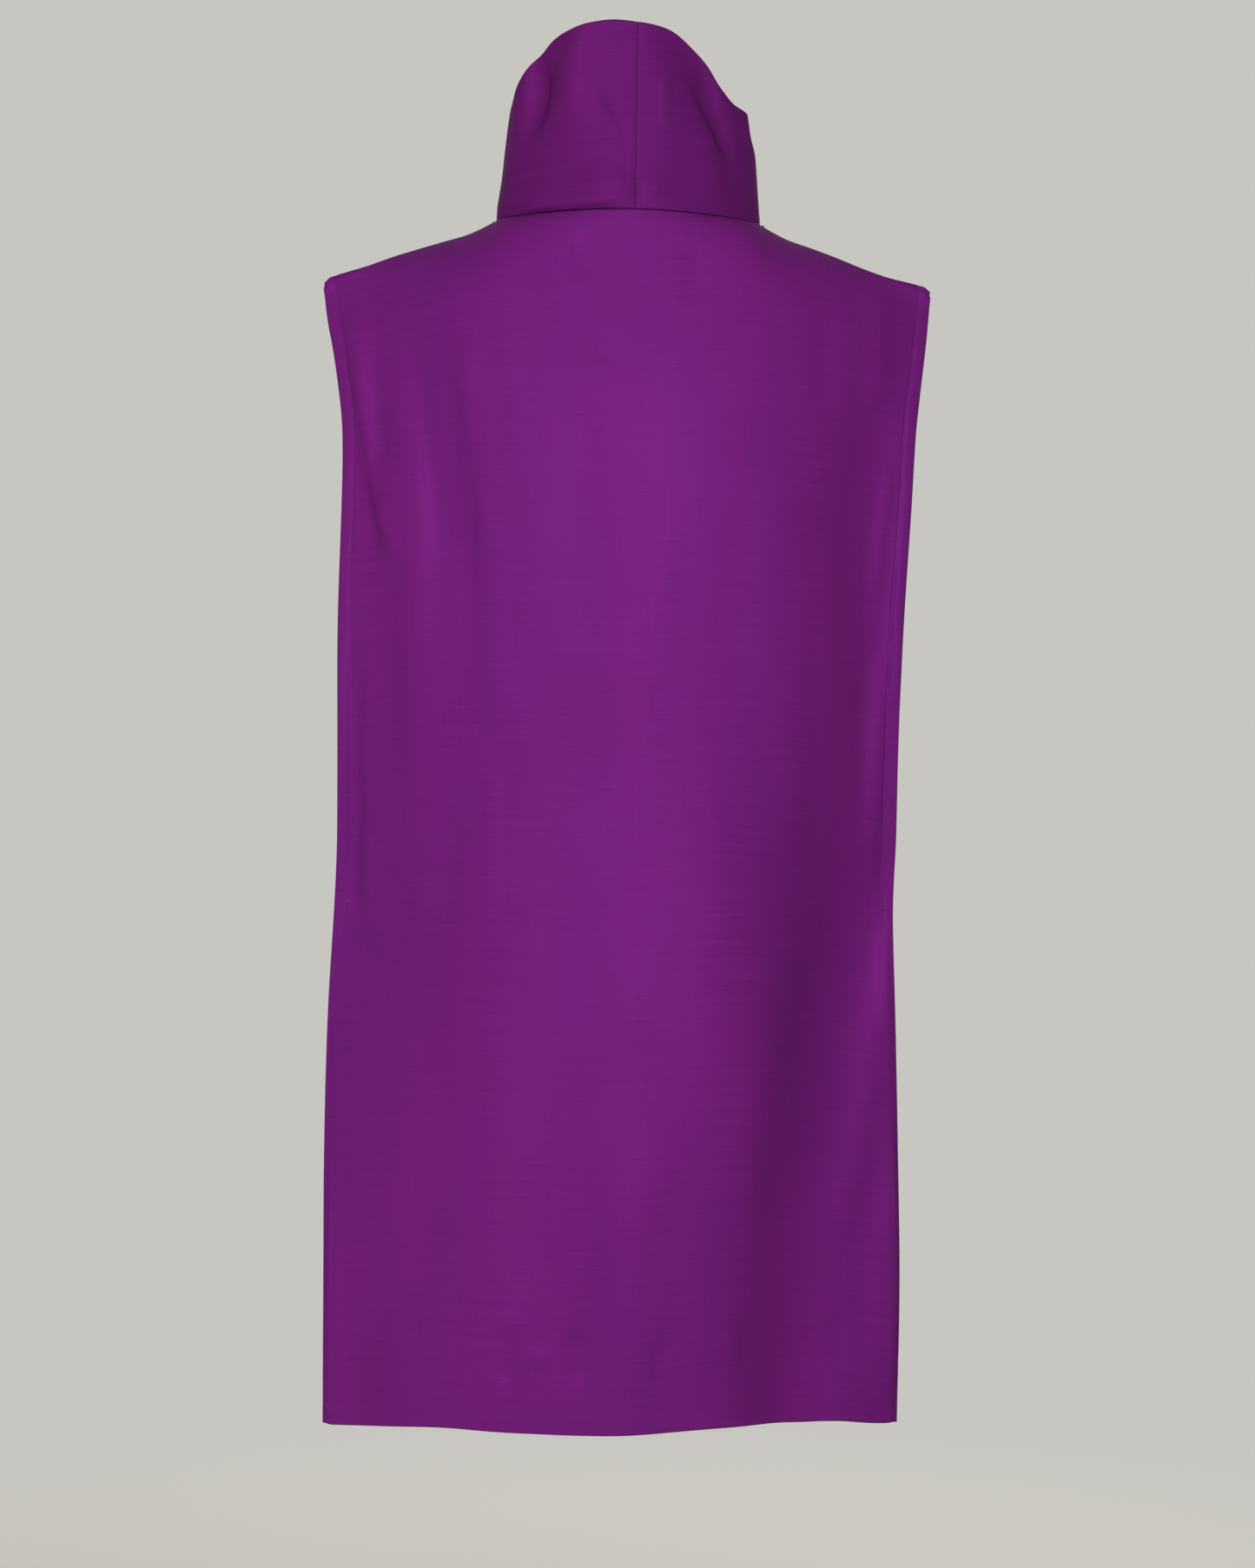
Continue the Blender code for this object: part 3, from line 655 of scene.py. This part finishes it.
solid = thread_points("collar", first_hand=1)
rows_down = solid.shape[0] - 1
row_height = np.mean(np.linalg.norm(np.diff(solid, axis=0), axis=2))
solid_widths = np.mean(np.linalg.norm(np.diff(solid, axis=1), axis=2), axis=0)
solid_round = np.append(0.0, np.cumsum(solid_widths))
rows = [distance / row_height for distance in RIM_DISTANCES]
rows += list(np.linspace(0.5, rows_down - 0.5, (rows_down - 1) * COLLAR_FINER_ROWS))
rows += [rows_down - distance / row_height for distance in NECK_DISTANCES]
inner = list(np.arange(SEAM_DISTANCES[-1] + COLLAR_SPACING, solid_round[-1] / 2, COLLAR_SPACING))
columns = np.interp(mirrored(SEAM_DISTANCES + inner, solid_round[-1]), solid_round, range(len(solid_round)))
points = finer_grid(solid, rows, columns)

# Each point's distances along the cloth. Signed, they are above 0 on the wearer's right of the centre seam
from_rim = travelled(points, 0)
from_neck = from_rim[-1] - from_rim
from_first_end = travelled(points, 1)
from_seam = np.minimum(from_first_end, from_first_end[:, -1:] - from_first_end)
first_half = from_first_end < from_first_end[:, -1:] / 2
signed = np.where(first_half, from_seam + SAME_POINT, -from_seam - SAME_POINT)

# The creases push the cloth in and out, and the back of the rim only towards the front or the back
normals = outward(points)
held = ease(from_neck / SEAM_HOLDS) * ease(from_seam / SIDE_HOLDS)
relief = crease_relief(COLLAR_CREASES, signed, points[..., 2])
relief *= ease(from_neck / CREASES_NEAR_NECK) * ease(from_seam / CREASES_NEAR_SEAM)
relief += held * COLLAR_UNEVENNESS * uneven(signed, points[..., 2], COLLAR_PATCHES, seed=40.0)
relief -= CENTRE_SEAM_GROOVE * ridge(from_seam, CENTRE_SEAM_GROOVE_WIDTH)
push = normals * relief[..., None]
back_rim = (1 - ease(from_rim / RIM_HOLDS)) * (1 - ease((from_seam - RIM_HELD_TO) / RIM_HELD_EASE))
push[..., [0, 2]] *= 1 - back_rim[..., None]
points = points + push

# The two ends are drawn together at the centre seam
joined = (points[:, :1] + points[:, -1:]) / 2
for end, its_half in ((points[:, :1], first_half), (points[:, -1:], ~first_half)):
    points += (its_half * (1 - ease(from_seam / CENTRE_SEAM_EASE)))[..., None] * (joined - end)
normals = outward(points)

# The doubled cloth: up the inside, over the rim, down the outside and into the neck seam
seam_side = turned_depth(np.mean(from_seam, axis=0), CENTRE_SEAM_RADIUS)
rim_depth = turned_depth(np.mean(from_rim, axis=1), COLLAR_DOUBLED / 2)
neck_depth = turned_depth(np.mean(from_neck, axis=1), SEAM_RADIUS)
last_row = len(rows) - 1
inner_rows = np.arange(last_row, 0, -1)
outer_rows = np.arange(last_row + 1)
seam_rows = np.full(len(SEAM_DEPTHS), last_row)
row_order = np.concatenate([inner_rows, outer_rows, seam_rows])
inner_depth = COLLAR_DOUBLED - rim_depth[inner_rows]
row_depth = np.concatenate([inner_depth, rim_depth + neck_depth, SEAM_DEPTHS[::-1]])
column_sign = np.concatenate([-np.ones(len(inner_rows)), np.ones(len(outer_rows)), np.zeros(len(seam_rows))])
depth = row_depth[:, None] + column_sign[:, None] * seam_side[None, :]
collar_points = points[row_order] - normals[row_order] * depth[..., None]
collar_points[:, [0, -1]] = (collar_points[:, [0]] + collar_points[:, [-1]]) / 2
collar_points[-len(SEAM_DEPTHS) :, :, 2] -= NECK_SEAM_CLOSE
height_up = from_neck[row_order].copy()
height_up[: len(inner_rows)] = 2 * from_neck[0] - height_up[: len(inner_rows)]
around = np.broadcast_to(np.mean(signed, axis=0), height_up.shape)
collar = lay_cloth("collar_silk", collar_points, np.stack([around, height_up], axis=2))
# The collar gets a darker copy of the panels' silk: its darkness is painted shade, not a different dye
collar_silk = slubbed_silk("slubbed_purple_silk_with_painted_shade", PURPLE_DARKENED_AS_PAINTED_SHADE)
collar.data.materials.append(collar_silk)
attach(collar, "root")
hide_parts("collar")


# Armhole stitching
# The turned edges of the armholes are held by a row of small stitches in purple thread, sewn through both
# layers from the shoulder seam down to the end of each slit.

STITCH_LENGTH = 0.0026
STITCH_PITCH = 0.0033
STITCH_WIDTH = 0.00042
STITCH_SUNK = 0.00005
THREAD_SEGMENTS = 6
THREAD_RINGS = 5
THREAD_PURPLE = (0.105, 0.0068, 0.118)
THREAD_TWIST = 900.0


def bead(length, width):
    """The points and faces of one small spindle of thread along X, for copying.

    The faces are sorted, because the ball has them in another order each time the script runs.
    """
    bpy.ops.object.select_all(action="DESELECT")
    bpy.ops.mesh.primitive_uv_sphere_add(segments=THREAD_SEGMENTS, ring_count=THREAD_RINGS, radius=0.5)
    bpy.ops.object.mode_set(mode="EDIT")
    bpy.ops.mesh.select_all(action="SELECT")
    bpy.ops.transform.rotate(value=math.pi / 2, orient_axis="Y", center_override=(0.0, 0.0, 0.0))
    bpy.ops.transform.resize(value=(length, width, width), center_override=(0.0, 0.0, 0.0))
    bpy.ops.object.mode_set(mode="OBJECT")
    model = bpy.context.object
    places = np.array([vertex.co for vertex in model.data.vertices])
    faces = sorted(list(polygon.vertices) for polygon in model.data.polygons)
    bpy.data.objects.remove(model)
    return places, faces


def laid_threads(name, shape, places, along, out, material):
    """One mesh of many spindles of thread, each at its place, along its direction and facing out."""
    spindle, spindle_faces = shape
    side = np.cross(out, along)
    side /= np.linalg.norm(side, axis=1)[:, None]
    axes = np.stack([along, side, out], axis=1)
    points = places[:, None, :] + np.einsum("vk,nkj->nvj", spindle, axes)
    faces = [
        [index + turn * len(spindle) for index in face]
        for turn in range(len(places))
        for face in spindle_faces
    ]
    mesh = bpy.data.meshes.new(name)
    mesh.from_pydata(points.reshape(-1, 3).tolist(), [], faces)
    mesh.shade_smooth()
    mesh.materials.append(material)
    threads = bpy.data.objects.new(name, mesh)
    bpy.context.scene.collection.objects.link(threads)
    return threads


def line_of_stitches(line, normals, pitch):
    """Places, directions and outward normals at an even pitch along a line of points."""
    lengths = np.concatenate([[0.0], np.cumsum(np.linalg.norm(np.diff(line, axis=0), axis=1))])
    at = np.arange(pitch / 2, lengths[-1], pitch)
    places = np.stack([np.interp(at, lengths, line[:, axis]) for axis in range(3)], axis=1)
    out = np.stack([np.interp(at, lengths, normals[:, axis]) for axis in range(3)], axis=1)
    out /= np.linalg.norm(out, axis=1)[:, None]
    along = np.gradient(places, axis=0)
    along -= out * np.sum(along * out, axis=1)[:, None]
    along /= np.linalg.norm(along, axis=1)[:, None]
    return places, along, out


def band_lines(panel):
    """A panel's armhole edges, seen from outside: the hand, the stitches' column and the slit's last row."""
    inset = np.mean(panel.from_side, axis=0)
    half = len(inset) // 2
    left_line = int(np.argmin(np.abs(inset[:half] - BAND_STITCH_INSET)))
    for hand, column in (("left", left_line), ("right", len(inset) - 1 - left_line)):
        yield hand, column, int(np.argmax(panel.points[:, column, 2] < SLIT_END))


thread = bpy.data.materials.new("purple_thread")
thread.use_nodes = True
thread_nodes, thread_links = thread.node_tree.nodes, thread.node_tree.links
thread_shader = thread_nodes["Principled BSDF"]
thread_shader.inputs["Base Color"].default_value = (*THREAD_PURPLE, 1.0)
thread_shader.inputs["Roughness"].default_value = 0.5
thread_shader.inputs["Specular IOR Level"].default_value = 0.2
twist = thread_nodes.new("ShaderNodeTexWave")
twist.inputs["Scale"].default_value = THREAD_TWIST
place = thread_nodes.new("ShaderNodeTexCoord")
thread_links.new(place.outputs["Object"], twist.inputs["Vector"])
twist_bump = thread_nodes.new("ShaderNodeBump")
twist_bump.inputs["Strength"].default_value = 0.3
twist_bump.inputs["Distance"].default_value = 0.0001
thread_links.new(twist.outputs["Fac"], twist_bump.inputs["Height"])
thread_links.new(twist_bump.outputs["Normal"], thread_shader.inputs["Normal"])

panels = {"back": back, "front": front}
stitch = bead(STITCH_LENGTH, STITCH_WIDTH)
for panel_name, panel in panels.items():
    for hand, column, slit_row in band_lines(panel):
        line, line_normals = panel.points[:slit_row, column], panel.normals[:slit_row, column]
        row = line_of_stitches(line - line_normals * STITCH_SUNK, line_normals, STITCH_PITCH)
        stitches = laid_threads(f"armhole_stitches_{panel_name}_{hand}", stitch, *row, thread)
        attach(stitches, "root")


# Hem stitching
# The hem is turned up deep and sewn by hand in the same thread, close under the upper edge of its turning, so
# that only small pricks of thread show outside.

HEM_PRICK_PITCH = 0.0085
HEM_PRICK_LENGTH = 0.0011
HEM_PRICK_WIDTH = 0.00035

prick = bead(HEM_PRICK_LENGTH, HEM_PRICK_WIDTH)
for panel_name, panel in panels.items():
    rise = np.mean(panel.from_hem, axis=1)
    row_index = int(np.argmin(np.abs(rise - HEM_STITCH_RISE)))
    row = line_of_stitches(panel.points[row_index], panel.normals[row_index], HEM_PRICK_PITCH)
    stitches = laid_threads(f"hem_stitches_{panel_name}", prick, *row, thread)
    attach(stitches, "root")


# Bar tacks
# A short bar of close stitches in the same thread ends each slit. It lies across the armhole's row of
# stitches and keeps the slit from tearing further down.

TACK_WIDTH = 0.0046
TACK_HEIGHT = 0.0024
TACK_THREADS = 11
TACK_THREAD_WIDTH = 0.0005
TACK_RISE = 0.00015

tack_thread = bead(TACK_HEIGHT, TACK_THREAD_WIDTH)
for panel_name, panel in panels.items():
    for hand, column, slit_row in band_lines(panel):
        centre, out = panel.points[slit_row, column], panel.normals[slit_row, column]
        down_cloth = panel.points[slit_row + 1, column] - panel.points[slit_row - 1, column]
        down_cloth /= np.linalg.norm(down_cloth)
        aside = np.cross(out, down_cloth)
        spread = np.linspace(-TACK_WIDTH / 2, TACK_WIDTH / 2, TACK_THREADS)
        places = centre + spread[:, None] * aside + out * TACK_RISE
        tack = laid_threads(
            f"bar_tack_{panel_name}_{hand}",
            tack_thread,
            places,
            np.tile(down_cloth, (TACK_THREADS, 1)),
            np.tile(out, (TACK_THREADS, 1)),
            thread,
        )
        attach(tack, "root")


# Slubs
# Thick places that the silk's yarn has from its spinning. They are woven in with the weft and stand out of
# the cloth as short raised lines.

Slub = namedtuple("Slub", "x z length")
BACK_SLUBS = [
    Slub(-110.0, -452.0, 13.0),
    Slub(152.0, -529.0, 11.0),
    Slub(194.0, -440.0, 14.0),
    Slub(-75.0, -637.0, 12.0),
    Slub(-209.0, -860.0, 17.0),
    Slub(-205.0, -432.0, 10.0),
    Slub(-164.0, -436.0, 10.0),
    Slub(36.0, -262.0, 9.0),
    Slub(-24.0, -388.0, 12.0),
    Slub(88.0, -176.0, 10.0),
    Slub(70.0, -712.0, 11.0),
    Slub(-134.0, -748.0, 9.0),
    Slub(12.0, -806.0, 10.0),
]
FRONT_SLUBS = [
    Slub(-120.0, -212.0, 12.0),
    Slub(46.0, -318.0, 10.0),
    Slub(-38.0, -470.0, 13.0),
    Slub(132.0, -566.0, 10.0),
    Slub(-166.0, -640.0, 11.0),
    Slub(80.0, -760.0, 12.0),
    Slub(-20.0, -150.0, 9.0),
]
SLUB_WIDTH = 0.0009
SLUB_RISE = 0.0001

# The spindle is 1 mm long, so that a direction as long as the slub's millimetres gives it its length
slub = bead(MM, SLUB_WIDTH)
for panel_name, slubs in (("back", BACK_SLUBS), ("front", FRONT_SLUBS)):
    panel = panels[panel_name]
    places, along, out = [], [], []
    for x, z, length in slubs:
        away = np.hypot(panel.points[..., 0] - x * MM, panel.points[..., 2] - z * MM)
        row, column = np.unravel_index(np.argmin(away), away.shape)
        weft = panel.points[row, column + 1] - panel.points[row, column - 1]
        places.append(panel.points[row, column] + panel.normals[row, column] * SLUB_RISE)
        along.append(weft / np.linalg.norm(weft) * length)
        out.append(panel.normals[row, column])
    lines = [np.array(places), np.array(along), np.array(out)]
    raised = laid_threads(f"slubs_{panel_name}", slub, *lines, thread)
    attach(raised, "root")


# Floor, light and camera
# A pale floor under the hanging dress, which fades out into the pale studio, four soft lamps round the dress,
# and the camera behind the wearer, a little above the middle of the dress.

STUDIO = (0.578, 0.565, 0.527)
FLOOR_HEIGHT = -1.45
FLOOR_RADIUS = 2.2
FLOOR_SIDES = 96
FLOOR_FADES_FROM = 0.3
FLOOR_GONE_AT = 0.98
FLOOR_GREY = (0.50, 0.49, 0.458)

bpy.ops.object.select_all(action="DESELECT")
bpy.ops.mesh.primitive_circle_add(
    vertices=FLOOR_SIDES, radius=FLOOR_RADIUS, fill_type="TRIFAN", location=(0.0, 0.0, FLOOR_HEIGHT)
)
floor = bpy.context.object
floor.name = "floor"
floor_paint = bpy.data.materials.new("pale_floor")
floor_paint.use_nodes = True
floor_nodes, floor_links = floor_paint.node_tree.nodes, floor_paint.node_tree.links
floor_shader = floor_nodes["Principled BSDF"]
floor_shader.inputs["Base Color"].default_value = (*FLOOR_GREY, 1.0)
floor_shader.inputs["Roughness"].default_value = 0.9
floor_shader.inputs["Specular IOR Level"].default_value = 0.0
floor_place = floor_nodes.new("ShaderNodeTexCoord")
floor_distance = floor_nodes.new("ShaderNodeVectorMath")
floor_distance.operation = "LENGTH"
floor_links.new(floor_place.outputs["Object"], floor_distance.inputs[0])
floor_fade = floor_nodes.new("ShaderNodeMapRange")
floor_fade.interpolation_type = "SMOOTHSTEP"
floor_fade.inputs["From Min"].default_value = FLOOR_RADIUS * FLOOR_FADES_FROM
floor_fade.inputs["From Max"].default_value = FLOOR_RADIUS * FLOOR_GONE_AT
floor_fade.inputs["To Min"].default_value = 1.0
floor_fade.inputs["To Max"].default_value = 0.0
floor_links.new(floor_distance.outputs["Value"], floor_fade.inputs["Value"])
floor_links.new(floor_fade.outputs["Result"], floor_shader.inputs["Alpha"])
floor.data.materials.append(floor_paint)

world = bpy.data.worlds.new("pale_studio")
world.use_nodes = True
background = world.node_tree.nodes["Background"]
background.inputs["Color"].default_value = (*STUDIO, 1.0)
background.inputs["Strength"].default_value = 1.0
bpy.context.scene.world = world
bpy.context.scene.view_settings.view_transform = "Standard"

Lamp = namedtuple("Lamp", "name place aim width height watts")
LAMPS = [
    Lamp("key_light", (-0.15, -2.95, 0.0), (0.0, 0.0, -0.40), 0.9, 0.9, 78.0),
    Lamp("left_light", (-3.0, -1.1, -1.25), (-0.1, 0.0, -0.75), 0.8, 0.8, 18.0),
    Lamp("top_light", (0.0, -1.2, 1.3), (0.0, 0.0, -0.05), 0.8, 0.5, 5.0),
    Lamp("front_light", (0.5, 3.2, -0.42), (0.0, 0.0, -0.46), 1.1, 1.3, 62.0),
]
for lamp in LAMPS:
    data = bpy.data.lights.new(lamp.name, "AREA")
    data.shape = "RECTANGLE"
    data.size, data.size_y = lamp.width, lamp.height
    data.energy = lamp.watts
    light = bpy.data.objects.new(lamp.name, data)
    bpy.context.scene.collection.objects.link(light)
    light.location = lamp.place
    light.rotation_mode = "QUATERNION"
    light.rotation_quaternion = (Vector(lamp.aim) - Vector(lamp.place)).to_track_quat("-Z", "Y")

CAMERA_PLACE = Vector((0.006, -2.8, -0.20))
CAMERA_AIM = Vector((0.006, 0.0, -0.42))
CAMERA_ROLL = math.radians(0.9)
CAMERA_LENS = 85.2
camera_data = bpy.data.cameras.new("camera")
camera_data.lens = CAMERA_LENS
camera = bpy.data.objects.new("camera", camera_data)
bpy.context.scene.collection.objects.link(camera)
sight = (CAMERA_AIM - CAMERA_PLACE).normalized()
level = sight.cross(Vector((0.0, 0.0, 1.0))).normalized()
upright = level.cross(sight)
right = level * math.cos(CAMERA_ROLL) + upright * math.sin(CAMERA_ROLL)
upward = upright * math.cos(CAMERA_ROLL) - level * math.sin(CAMERA_ROLL)
camera.matrix_world = Matrix.Translation(CAMERA_PLACE) @ Matrix((right, upward, -sight)).transposed().to_4x4()
bpy.context.scene.camera = camera
